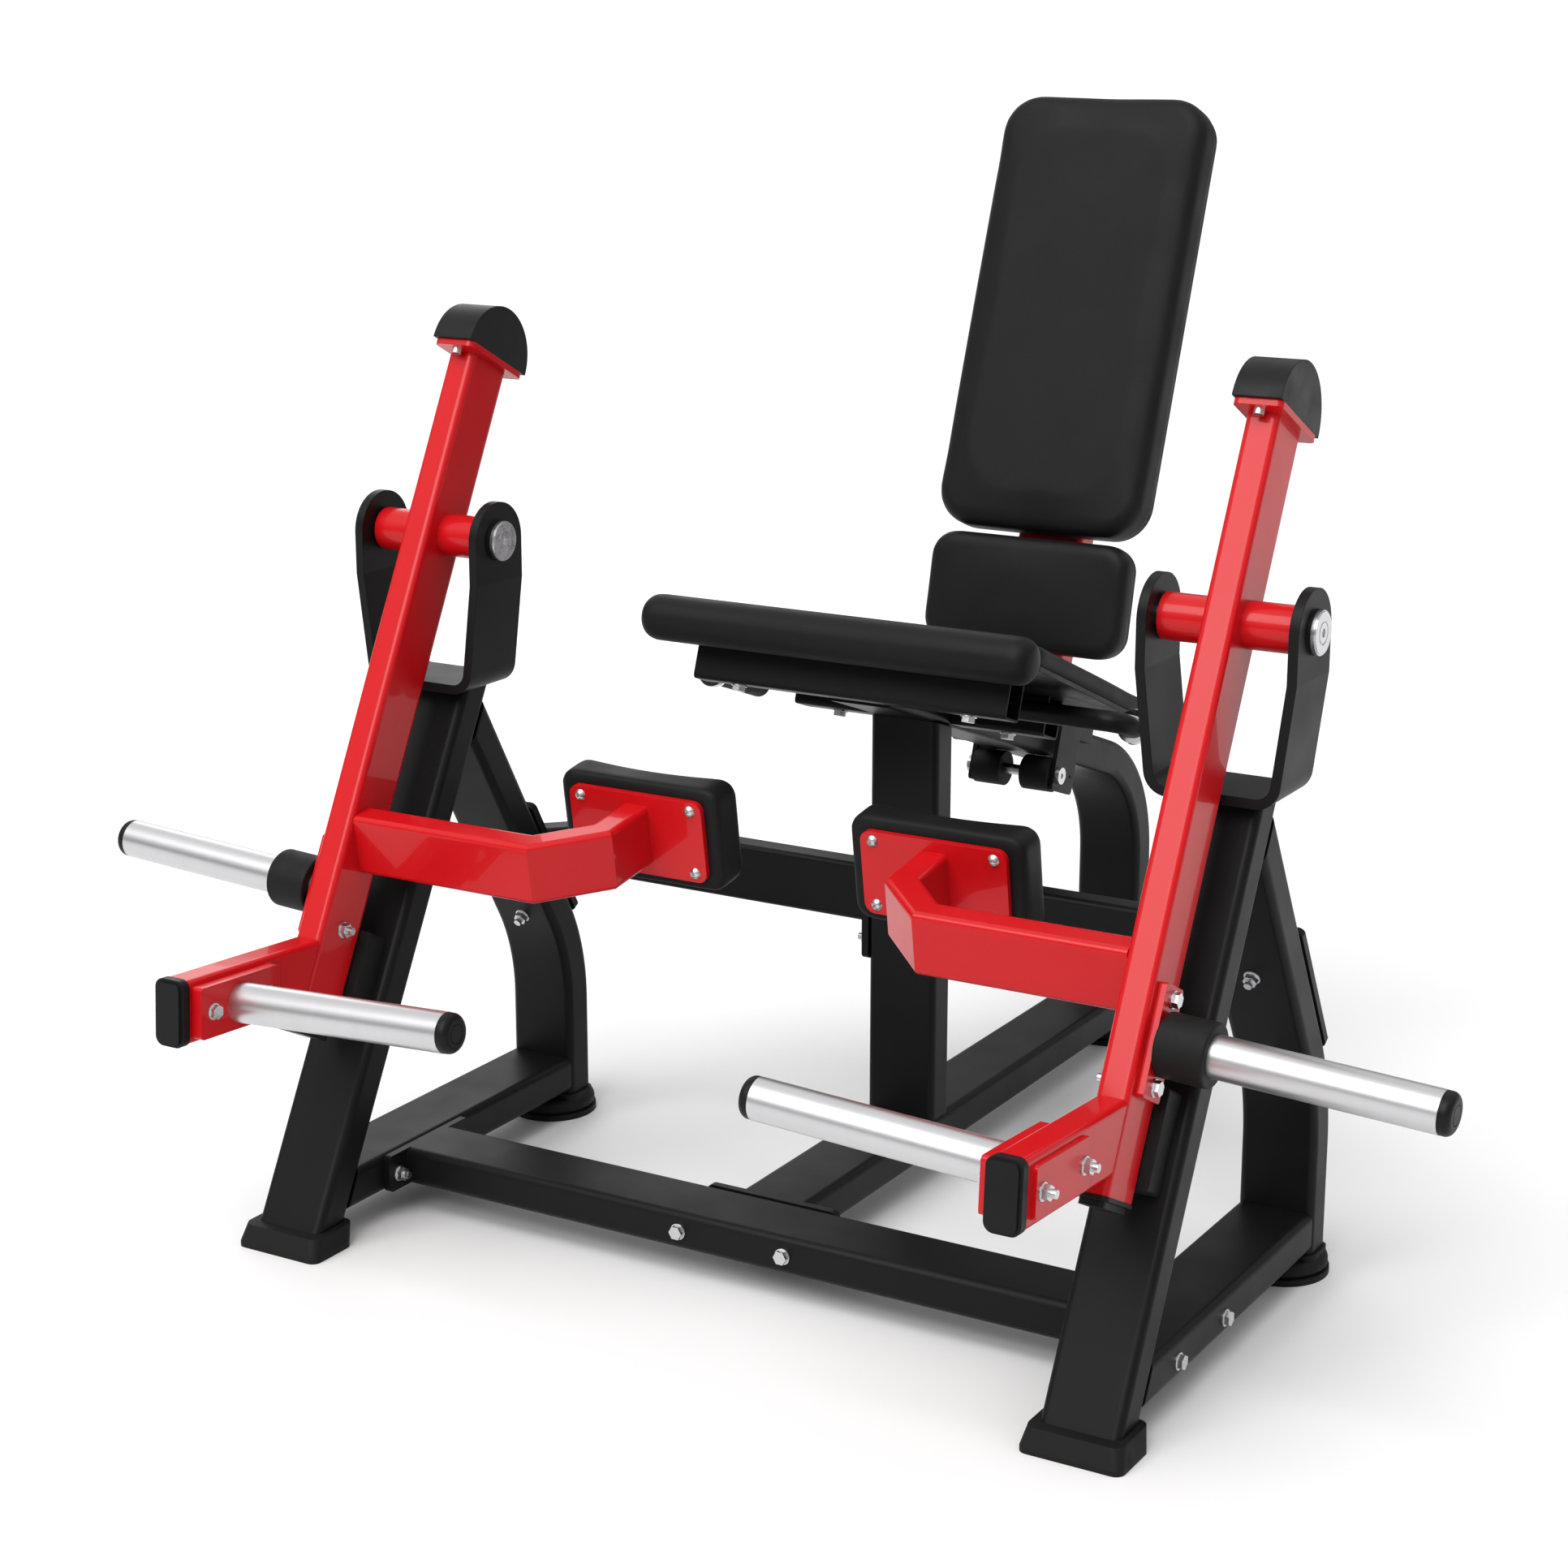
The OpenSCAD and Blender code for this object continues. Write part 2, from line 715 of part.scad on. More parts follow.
module seat_roll() {
    color(pad_black) on_seat() translate([0, roll_s, roll_n]) rotate([0, 90, 0])
        rotate_extrude($fn = fine) intersection() {
            round_rect(2 * seat_roll_r, roll_l, 19);
            translate([0, -roll_l / 2]) square([seat_roll_r, roll_l]);
        }
}

module handle_bar() {
    color(frame_black) on_beam() translate([0, handle_s, handle_n]) {
        translate([tube_w / 2, 0, 0]) rotate([0, 90, 0])
            cylinder(r = handle_r, h = handle_x - handle_bend_r - tube_w / 2, $fn = fine);
        translate([handle_x - handle_bend_r, handle_bend_r, 0]) rotate([0, 0, -90])
            rotate_extrude(angle = 90, $fn = 96) translate([handle_bend_r, 0]) circle(handle_r, $fn = 48);
        translate([handle_x, handle_bend_r, 0]) rotate([-90, 0, 0])
            cylinder(r = handle_r, h = collar_l + grip_l - 6, $fn = fine);
    }
}

module on_handle_end() {
    on_beam() translate([handle_x, handle_s + handle_bend_r, handle_n]) rotate([-90, 0, 0]) children();
}

module handle_collar() {
    color(steel) on_handle_end() difference() {
        rotate_extrude($fn = fine) intersection() {
            square([23, collar_l]);
            translate([9, collar_l / 2]) circle(14, $fn = 64);
        }
        translate([0, 0, -1]) cylinder(r = handle_r, h = collar_l + 2, $fn = fine);
    }
}

module handle_grip() {
    color(rubber_black) on_handle_end() translate([0, 0, collar_l]) difference() {
        rotate_extrude($fn = fine) {
            square([17.5, grip_l - 5]);
            square([13, grip_l]);
            translate([12.5, grip_l - 5]) intersection() {
                circle(5, $fn = 32);
                square([5, 5]);
            }
        }
        translate([0, 0, -1]) cylinder(r = handle_r, h = grip_l - 5, $fn = fine);
    }
}

// ---- Pivots ----

module pivot_shaft() {
    half = yoke_ear_x + boss_t;
    color(steel) translate([side_x, 0, pivot_z]) rotate([0, 90, 0]) {
        translate([0, 0, -half]) cylinder(r = shaft_r, h = 2 * half, $fn = fine);
        for (z = [-yoke_ear_x + yoke_t, housing_x + 0.4])
            translate([0, 0, z]) cylinder(r = 19, h = yoke_ear_x - yoke_t - housing_x - 0.4, $fn = fine);
        for (m = [0, 1]) mirror([0, 0, m]) translate([0, 0, half]) pivot_cap();
    }
}

// Cap screwed to the end of a pivot shaft
module pivot_cap() {
    rotate_extrude($fn = fine) difference() {
        union() {
            square([cap_r, cap_t - 1.5]);
            square([cap_r - 1.5, cap_t]);
        }
        translate([12, cap_t - 1.2]) square([1.6, 2]);
        translate([0, cap_t - 3]) square([5, 4]);
    }
}

module bearings() {
    color(steel) translate([side_x, 0, pivot_z]) rotate([0, 90, 0])
        for (z = [-housing_x, housing_x - bearing_t]) translate([0, 0, z]) difference() {
            cylinder(r = bearing_r, h = bearing_t, $fn = fine);
            translate([0, 0, -1]) cylinder(r = shaft_r + shaft_fit, h = bearing_t + 2, $fn = fine);
        }
}

// ---- Backrest ----

module backrest_carriage() {
    color(frame_black) on_beam() difference() {
        union() {
            for (x = [-plate_x - plate_t, plate_x])
                translate([x, (plate_s[0] + plate_s[1]) / 2, (plate_n[0] + plate_n[1]) / 2])
                    rotate([90, 0, 90]) plate(plate_s[1] - plate_s[0], plate_n[1] - plate_n[0], plate_t, 6);
            translate([-plate_x, deck_s[0], deck_n]) cube([2 * plate_x, deck_s[1] - deck_s[0], deck_t]);
            for (x = [-plate_x, tube_w / 2 + slider_gap])
                translate([x, deck_s[0], 8]) cube([plate_x - tube_w / 2 - slider_gap, deck_s[1] - deck_s[0], deck_n - 8]);
            translate([-plate_x - plate_t, pin_s, 0]) rotate([0, -90, 0]) 
                cylinder(r = pin_housing_r, h = pin_housing_l, $fn = fine);
        }
        translate([-150, roller_s, roller_n]) rotate([0, 90, 0]) cylinder(r = axle_r, h = 300, $fn = 48);
        translate([-150, pin_s, 0]) rotate([0, 90, 0]) cylinder(r = pin_r + 0.08, h = 100, $fn = 48);
        translate([0, plate_s[1] - 14, plate_n[0] + 25]) rotate([0, 90, 0]) cylinder(r = 2.5, h = 100, $fn = 32);
    }
}

module roller_axle() {
    reach = plate_x + plate_t;
    color(steel) on_beam() translate([0, roller_s, roller_n]) rotate([0, 90, 0]) {
        translate([0, 0, -reach]) cylinder(r = axle_r, h = 2 * reach, $fn = 48);
        for (m = [0, 1]) mirror([0, 0, m]) translate([0, 0, reach]) difference() {
            cylinder(r = 12, h = 6, $fn = fine);
            translate([0, 0, 3]) cylinder(r = 4, h = 4, $fn = 6);
        }
    }
}

module carriage_rollers() {
    color(rubber_black) on_beam() translate([0, roller_s, roller_n]) rotate([0, 90, 0])
        for (m = [0, 1]) mirror([0, 0, m]) translate([0, 0, 16]) difference() {
            cylinder(r = roller_r, h = plate_x - 17, $fn = fine);
            translate([0, 0, -1]) cylinder(r = axle_r + 0.08, h = plate_x, $fn = 48);
        }
}

module lock_pin() {
    housing_end = plate_x + plate_t + pin_housing_l;
    color(steel) on_beam() translate([0, pin_s, 0]) rotate([0, -90, 0]) {
        translate([0, 0, tube_w / 2 + 1]) cylinder(r = pin_r, h = housing_end + pin_travel - tube_w / 2 + 4, $fn = 48);
        translate([0, 0, housing_end + pin_travel + 1]) rotate_extrude($fn = fine) {
            square([17, 14]);
            square([13, 20]);
            translate([13, 14]) intersection() {
                circle(4, $fn = 32);
                square([4, 6]);
            }
        }
    }
}

module backrest_upright() {
    front = back_t + back_plate_t;
    color(lever_red) {
        difference() {
            on_back() translate([0, front + tube_h / 2, -400]) tube_z(tube_w, tube_h, 400 + upright_top);
            on_beam() translate([0, 0, deck_n + deck_t]) below_z();
        }
        for (z = back_plate_z)
            on_back() translate([0, front, z]) rotate([90, 0, 0]) plate(back_plate[0], back_plate[1], back_plate_t);
        difference() {
            on_lumbar() translate([0, lumbar_t + back_plate_t, lumbar_plate_z]) tube_y(60, 40, 120, 6);
            on_back() translate([0, front, 0]) beyond_y();
        }
        on_lumbar() translate([0, lumbar_t + back_plate_t, lumbar_plate_z]) rotate([90, 0, 0])
            plate(lumbar_plate[0], lumbar_plate[1], back_plate_t);
    }
}

module upper_back_pad() {
    color(pad_black) on_back() translate([0, back_t, back_h / 2]) rotate([90, 0, 0])
        plate(back_w, back_h, back_t, 56);
}

module lower_back_pad() {
    color(pad_black) on_lumbar() translate([0, lumbar_t, lumbar_h / 2]) rotate([90, 0, 0])
        plate(lumbar_w, lumbar_h, lumbar_t, 38);
}

// ---- Levers ----

module lever_arm() {
    color(lever_red) difference() {
        union() {
            on_lever() difference() {
                translate([0, arm_y, arm_bottom]) tube_z(arm_t, arm_w, arm_top - arm_bottom, arm_r);
                translate([-50, 0, 0]) rotate([0, 90, 0]) cylinder(r = housing_r - 1, h = 100, $fn = fine);
            }
            on_lever() translate([-housing_x, 0, 0]) rotate([0, 90, 0])
                cylinder(r = housing_r, h = 2 * housing_x, $fn = fine);
            on_lever() translate([0, arm_y, arm_top]) plate(head_plate[0], head_plate[1], head_plate[2]);
        }
        on_lever() translate([-housing_x - 1, 0, 0]) rotate([0, 90, 0])
            cylinder(r = bearing_r, h = 2 * housing_x + 2, $fn = fine);
        at_outer_flange_bolts() translate([0, 0, -80]) cylinder(r = bolt_hole_r, h = 90, $fn = 32);
        at_weight_screws() translate([0, 0, -12]) cylinder(r = screw_hole_r, h = 20, $fn = 32);
    }
}

module stub_arm() {
    color(lever_red) difference() {
        union() {
            on_stub() translate([0, -stub_l, 0]) tube_y(arm_t, arm_w, stub_l + 60, arm_r);
            on_stub() translate([arm_t / 2, stub_flange_y, 0]) rotate([90, 0, 90])
                plate(stub_back_plate[0], stub_back_plate[1], stub_back_plate[2], 6);
        }
        on_lever() translate([0, arm_y - arm_w / 2, 0]) beyond_y();
        at_stub_flange_bolts() translate([0, 0, -90]) cylinder(r = bolt_hole_r, h = 100, $fn = 32);
    }
}

module pad_arm() {
    color(lever_red) difference() {
        union() {
            difference() {
                on_pad_arm() tube_run(pad_arm_run, arm_t, arm_w, arm_r);
                translate([side_x - arm_t / 2, -big / 2, 0]) cube(big);
            }
            on_pad_arm() translate([pad_arm_run[3][0], pad_plate_y + pad_plate[1], 0]) rotate([90, 0, 0])
                plate(pad_plate[0], pad_plate[2], pad_plate[1], 14);
        }
        at_pad_screws() translate([0, 0, -10]) cylinder(r = screw_hole_r, h = 12, $fn = 32);
    }
}

module shin_pad_solid() {
    back = pad_plate_y + pad_plate[1] + shin_pad[1];
    color(pad_black) on_pad_arm() difference() {
        translate([pad_arm_run[3][0], back, 0]) rotate([90, 0, 0]) plate(shin_pad[0], shin_pad[2], shin_pad[1], 22);
        translate([pad_arm_run[3][0], back + shin_curve_r - shin_hollow, -shin_pad[2]])
            cylinder(r = shin_curve_r, h = 2 * shin_pad[2], $fn = 128);
    }
}

module counterweight() {
    color(rubber_black) on_lever() difference() {
        translate([-weight_w / 2, arm_y, arm_top + head_plate[2]]) rotate([0, 90, 0]) rotate([0, 0, 90])
            linear_extrude(weight_w) intersection() {
                circle(weight_r, $fn = 128);
                translate([-weight_r, 0]) square([2 * weight_r, weight_r]);
            }
        for (y = [-weight_screw_y, weight_screw_y])
            translate([0, arm_y + y, arm_top]) cylinder(r = screw_r, h = 28, $fn = 32);
    }
}

module sleeve(len, root) {
    difference() {
        union() {
            translate([0, 0, -3]) cylinder(r = horn_r - horn_step, h = root + 6, $fn = fine);
            translate([0, 0, root]) cylinder(r = horn_r, h = len - root, $fn = fine);
        }
        translate([0, 0, 6]) cylinder(r = horn_r - tube_wall, h = len, $fn = fine);
    }
}

module outer_horn(tilt) {
    color(steel) difference() {
        on_outer_horn(tilt) sleeve(outer_horn_l, outer_horn_root);
        on_lever() translate([arm_t / 2 + horn_flange_t - big, -big / 2, -big / 2]) cube(big);
    }
}

module inner_horn() {
    color(steel) difference() {
        on_inner_horn() sleeve(inner_horn_l, inner_horn_root);
        on_stub() translate([-arm_t / 2 - stub_flange_t, -big / 2, -big / 2]) cube(big);
    }
}

module horn_flanges() {
    color(lever_red) difference() {
        union() {
            on_lever() translate([arm_t / 2, arm_y, outer_horn_z]) rotate([90, 0, 90])
                plate(horn_flange[0], horn_flange[1], horn_flange_t, 4);
            on_stub() translate([-arm_t / 2 - stub_flange_t, stub_flange_y, 0]) rotate([90, 0, 90])
                plate(stub_flange[0], stub_flange[1], stub_flange_t, 5);
        }
        at_outer_flange_bolts() translate([0, 0, -80]) cylinder(r = bolt_hole_r, h = 90, $fn = 32);
        at_stub_flange_bolts() translate([0, 0, -90]) cylinder(r = bolt_hole_r, h = 100, $fn = 32);
    }
}

module horn_caps(tilt) {
    color(rubber_black) {
        on_outer_horn(tilt) translate([0, 0, outer_horn_l]) horn_cap();
        on_inner_horn() translate([0, 0, inner_horn_l]) horn_cap();
    }
}

module horn_collar(tilt) {
    color(rubber_black) on_outer_horn(tilt) translate([0, 0, 2.2]) difference() {
        rotate_extrude($fn = fine) {
            square([34, 60]);
            translate([0, 3]) square([37.5, 54]);
            translate([34.5, 3]) circle(3, $fn = 24);
            translate([34.5, 57]) circle(3, $fn = 24);
        }
        translate([0, 0, -1]) cylinder(r = horn_r - horn_step, h = 70, $fn = fine);
    }
}

module end_plugs() {
    color(rubber_black) {
        on_lever() translate([0, arm_y, arm_bottom]) {
            translate([0, 0, -5]) plate(arm_t + 2, arm_w + 2, 5, arm_r);
            translate([0, 0, -13]) plate(arm_t - 8, arm_w - 8, 8, arm_r);
            plate(arm_t - 2 * tube_wall, arm_w - 2 * tube_wall, 16, arm_r - tube_wall);
        }
        on_stub() translate([0, -stub_l, 0]) rotate([90, 0, 0]) {
            plate(arm_t + 4, arm_w + 4, 12, arm_r + 4);
            translate([0, 0, 12]) plate(arm_t - 4, arm_w - 4, 4, arm_r);
            translate([0, 0, -16]) plate(arm_t - 2 * tube_wall, arm_w - 2 * tube_wall, 16, arm_r - tube_wall);
        }
    }
}

module lever_bolts() {
    color(steel) {
        at_outer_flange_bolts([-horn_flange_bolt]) hex_bolt(arm_t + horn_flange_t);
        // The upper one is threaded into the lever wall, because the pad arm covers its far side
        at_outer_flange_bolts([horn_flange_bolt]) hex_bolt(arm_t + horn_flange_t - 0.5, bolt_r, false);
        at_stub_flange_bolts() hex_bolt(arm_t + stub_flange_t + stub_back_plate[2]);
        at_weight_screws() socket_screw(head_plate[2] + 20);
        at_pad_screws() button_screw(pad_plate[1]);
    }
}

module frame_bolts() {
    color(steel) {
        for (m = [0, 1]) mirror([m, 0, 0]) {
            at_rail_bolts() hex_bolt(tube_w + flange_t);
            at_leg_bolts() hex_bolt(tube_h + flange_t);
            at_bumper_screws() translate([0, 0, 14]) socket_screw(18, 3, 6);
        }
        at_cross_bolts() hex_bolt(tube_w + flange_t);
        at_centre_bolts() hex_bolt(tube_w + 2 * flange_t);
        at_seat_bolts() hex_bolt(tube_slack, bolt_r, false);
    }
}

// ---- Sub-parts ----

module left_front_post() { placed(-1) front_post(); }
module right_front_post() { placed() front_post(); }
module left_rear_leg() { placed(-1) rear_leg(); }
module right_rear_leg() { placed() rear_leg(); }
module left_side_rail() { placed(-1) side_rail(); }
module right_side_rail() { placed() side_rail(); }
module left_yoke() { placed(-1) yoke(); }
module right_yoke() { placed() yoke(); }
module left_rear_crossrail() { placed(-1) rear_crossrail(); }
module right_rear_crossrail() { placed() rear_crossrail(); }
module front_shoes() { for (side = [-1, 1]) placed(side) front_shoe(); }
module rear_feet() {
    for (side = [-1, 1]) placed(side) rear_foot(side_x, leg_y);
    placed() rear_foot(0, column_y);
}
module lever_bumpers() { for (side = [-1, 1]) placed(side) lever_bumper(); }
module handle_bars() { for (side = [-1, 1]) placed(side) handle_bar(); }
module handle_collars() { for (side = [-1, 1]) placed(side) handle_collar(); }
module handle_grips() { for (side = [-1, 1]) placed(side) handle_grip(); }
module pivot_shafts() { for (side = [-1, 1]) placed(side) pivot_shaft(); }
module left_lever_arm() { placed(-1) lever_arm(); }
module right_lever_arm() { placed() lever_arm(); }
module left_stub_arm() { placed(-1) stub_arm(); }
module right_stub_arm() { placed() stub_arm(); }
module left_pad_arm() { placed(-1) pad_arm(); }
module right_pad_arm() { placed() pad_arm(); }
module left_shin_pad() { placed(-1) shin_pad_solid(); }
module right_shin_pad() { placed() shin_pad_solid(); }
module left_counterweight() { placed(-1) counterweight(); }
module right_counterweight() { placed() counterweight(); }
module left_bearings() { placed(-1) bearings(); }
module right_bearings() { placed() bearings(); }
module left_horn_flanges() { placed(-1) horn_flanges(); }
module right_horn_flanges() { placed() horn_flanges(); }
module left_inner_horn() { placed(-1) inner_horn(); }
module right_inner_horn() { placed() inner_horn(); }
module left_outer_horn() { placed(-1) outer_horn(left_horn_tilt); }
module right_outer_horn() { placed() outer_horn(right_horn_tilt); }
module left_horn_caps() { placed(-1) horn_caps(left_horn_tilt); }
module right_horn_caps() { placed() horn_caps(right_horn_tilt); }
module left_horn_collar() { placed(-1) horn_collar(left_horn_tilt); }
module right_horn_collar() { placed() horn_collar(right_horn_tilt); }
module left_end_plugs() { placed(-1) end_plugs(); }
module right_end_plugs() { placed() end_plugs(); }
module left_lever_bolts() { placed(-1) lever_bolts(); }
module right_lever_bolts() { placed() lever_bolts(); }

left_front_post();
right_front_post();
left_rear_leg();
right_rear_leg();
left_side_rail();
right_side_rail();
left_yoke();
right_yoke();
placed() front_crossmember();
placed() centre_rail();
placed() centre_post();
placed() seat_beam();
placed() rear_column();
left_rear_crossrail();
right_rear_crossrail();
front_shoes();
rear_feet();
lever_bumpers();
placed() front_seat_bracket();
placed() rear_seat_bracket();
placed() seat_pad();
placed() seat_roll();
handle_bars();
handle_collars();
handle_grips();
pivot_shafts();
placed() frame_bolts();
placed() backrest_carriage();
placed() roller_axle();
placed() carriage_rollers();
placed() lock_pin();
placed() backrest_upright();
placed() upper_back_pad();
placed() lower_back_pad();
left_lever_arm();
right_lever_arm();
left_stub_arm();
right_stub_arm();
left_pad_arm();
right_pad_arm();
left_shin_pad();
right_shin_pad();
left_counterweight();
right_counterweight();
left_bearings();
right_bearings();
left_horn_flanges();
right_horn_flanges();
left_inner_horn();
right_inner_horn();
left_outer_horn();
right_outer_horn();
left_horn_caps();
right_horn_caps();
left_horn_collar();
right_horn_collar();
left_end_plugs();
right_end_plugs();
left_lever_bolts();
right_lever_bolts();
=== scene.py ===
import json
import math

import bmesh
import bpy
from mathutils import Matrix, Vector


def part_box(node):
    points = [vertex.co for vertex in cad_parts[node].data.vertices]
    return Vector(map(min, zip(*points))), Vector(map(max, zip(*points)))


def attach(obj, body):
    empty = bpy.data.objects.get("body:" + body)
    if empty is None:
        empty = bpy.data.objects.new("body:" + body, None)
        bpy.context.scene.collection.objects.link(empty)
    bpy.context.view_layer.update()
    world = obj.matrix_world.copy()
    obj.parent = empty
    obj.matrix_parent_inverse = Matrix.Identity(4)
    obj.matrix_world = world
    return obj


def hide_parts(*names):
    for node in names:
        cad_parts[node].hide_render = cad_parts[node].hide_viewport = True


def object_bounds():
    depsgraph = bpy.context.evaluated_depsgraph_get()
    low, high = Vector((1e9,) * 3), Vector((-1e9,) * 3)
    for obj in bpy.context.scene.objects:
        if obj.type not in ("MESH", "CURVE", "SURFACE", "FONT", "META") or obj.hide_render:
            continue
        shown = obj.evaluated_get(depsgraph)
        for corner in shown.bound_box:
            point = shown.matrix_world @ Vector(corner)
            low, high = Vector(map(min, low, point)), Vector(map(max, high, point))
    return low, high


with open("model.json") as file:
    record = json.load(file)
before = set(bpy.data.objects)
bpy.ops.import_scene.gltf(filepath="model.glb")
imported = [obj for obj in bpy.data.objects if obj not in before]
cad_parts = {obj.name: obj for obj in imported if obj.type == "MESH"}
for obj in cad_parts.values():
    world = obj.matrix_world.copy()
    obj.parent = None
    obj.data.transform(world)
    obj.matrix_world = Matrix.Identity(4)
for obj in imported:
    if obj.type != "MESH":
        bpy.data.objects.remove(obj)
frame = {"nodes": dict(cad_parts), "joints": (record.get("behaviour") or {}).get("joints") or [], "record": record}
cad_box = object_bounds()

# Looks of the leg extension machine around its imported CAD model: camera, lights, floor, finishes
# and cushions. Everything is in metres in the CAD frame: X across the machine, Y towards the
# backrest, Z up.

MM = 0.001

# Camera: the place is measured from the midpoint between the two lever pivots
LENS = 70.53
SENSOR = 36
CAMERA_FROM_PIVOTS = Vector((1.8600, -3.1956, 0.7166))
CAMERA_AZIMUTH = math.radians(30.63)
CAMERA_DOWN = math.radians(14.86)
CLIP_NEAR, CLIP_FAR = 0.05, 500

# Lights: a soft sun from the front and above, and a softbox behind the left of the machine
SUN_STRENGTH = 2.6
SUN_SPREAD = math.radians(50)
SUN_TURN = (math.radians(40), 0, math.radians(-8))
RIM_PLACE = (-3.4, 3.2, 2.6)
RIM_TARGET = (0, 0, 0.8)
RIM_SIZE = (2.4, 2.4)
RIM_POWER = 30

# Room: how bright the walls and the ceiling are, and between which heights of view they blend
WALL_LIGHT = 0.2
CEILING_LIGHT = 0.95
WALL_HEIGHT = 0.05
CEILING_HEIGHT = 0.75

# Floor: half its width, and the gap that keeps it clear of the feet
FLOOR_HALF = 150
FLOOR_GAP = 0.2 * MM

# Leans of the cushions about the X axis, as the CAD model has them
SEAT_SLOPE = math.radians(22.5)
BACK_LEAN = math.radians(20.3)
LUMBAR_LEAN = math.radians(13.3)
SHIN_TILT = math.radians(-9)

# Cloth simulation of the cushions: the skin, the frames, and the inner pressure. The lowest few
# millimetres of a cushion are held, and its foam lets the skin keep part of the swelling along each
# of its axes. The swelling is averaged over the skin, and the skin is relaxed before and after.
CLOTH = {"quality": 5, "mass": 0.3, "tension_stiffness": 25, "compression_stiffness": 25,
         "shear_stiffness": 10, "bending_stiffness": 2}
CLOTH_FRAMES = 20
CUSHION_PRESSURE = 3
CUSHION_HELD = 6 * MM
FOAM_GIVE = (0.08, 0.08, 0.4)
EVEN_TIMES = 25
RELAX_FACTOR = 0.5
RELAX_BEFORE, RELAX_AFTER = 3, 2
LEAST_SHIFT = 0.01 * MM

# Steps of the rounded corners and edges of a slab, and its least corner radius
CORNER_STEPS = 10
BACK_STEPS = 4
FRONT_STEPS = 8
LEAST_CORNER = 1 * MM

# The roll of the seat: its end rounding, its mesh, and its cloth simulation
ROLL_END = 20 * MM
ROLL_END_STEPS = 6
ROLL_SIDES = 48
ROLL_STATIONS = 40
ROLL_VOXEL = 5 * MM
ROLL_SHRINK = 1.5 * MM
ROLL_PRESSURE = 4
ROLL_RELAX = 6
ROLL_CORE = 1 * MM
ROLL_CROWN = 2.5 * MM

# Boards under the cushions, and the screws that hold the two back cushions to their steel plates
BOARD_T = 5 * MM
BOARD_EDGES = (0.5 * MM, 1.2 * MM)
BOARD_IN_CUSHION = 2 * MM
BOARD_INSET = 4 * MM
PLATE_T = 6 * MM
UPPER_PLATES = (110 * MM, 400 * MM)
LOWER_PLATE = 85 * MM
UPPER_SCREWS = (98 * MM, 20 * MM)
LOWER_SCREWS = (94 * MM, 28 * MM)
SCREW_R = 7.5 * MM
SCREW_SIDES = 24
# Radius and height of the rings of a button head, from its rim to its socket, in screw radii
SCREW_RINGS = ((1.0, 0.0), (0.98, 0.16), (0.88, 0.34), (0.7, 0.48), (0.5, 0.55), (0.44, 0.55),
               (0.4, 0.2))

# Section of the red upright, how high its top is above the lower edge of the upper cushion, and the
# plug in it
UPRIGHT_SECTION = (100 * MM, 50 * MM)
UPRIGHT_CORNER = 10 * MM
UPRIGHT_TOP = 430 * MM
PLUG_T = 5 * MM
PLUG_EDGES = (3 * MM, 0.5 * MM)

record_joints = {joint["name"]: joint for joint in frame["joints"]}
pivots = Vector(record_joints["right_lever_swing"]["pos_m"])
pivots.x = 0
nodes = frame["nodes"]
body_nodes = frame["record"]["behaviour"]["bodies"]
node_body = {node: body for body, members in body_nodes.items() for node in members}


# ---- Camera, light and floor ----

def make_camera():
    data = bpy.data.cameras.new("Camera")
    data.lens = LENS
    data.sensor_width = SENSOR
    data.clip_start, data.clip_end = CLIP_NEAR, CLIP_FAR
    camera = bpy.data.objects.new("Camera", data)
    camera.location = pivots + CAMERA_FROM_PIVOTS
    camera.rotation_euler = (math.pi / 2 - CAMERA_DOWN, 0, CAMERA_AZIMUTH)
    bpy.context.scene.collection.objects.link(camera)
    bpy.context.scene.camera = camera


def area_light(name, place, target, size, power):
    data = bpy.data.lights.new(name, "AREA")
    data.shape = "RECTANGLE"
    data.size, data.size_y = size
    data.energy = power
    light = bpy.data.objects.new(name, data)
    light.location = place
    light.rotation_euler = (Vector(target) - Vector(place)).to_track_quat("-Z", "Y").to_euler()
    bpy.context.scene.collection.objects.link(light)


def make_lights():
    """One very soft key light from the front and above; the bright room does the rest."""
    sun = bpy.data.lights.new("key_light", "SUN")
    sun.energy = SUN_STRENGTH
    sun.angle = SUN_SPREAD
    holder = bpy.data.objects.new("key_light", sun)
    holder.rotation_euler = SUN_TURN
    bpy.context.scene.collection.objects.link(holder)
    area_light("rim_softbox", RIM_PLACE, RIM_TARGET, RIM_SIZE, RIM_POWER)


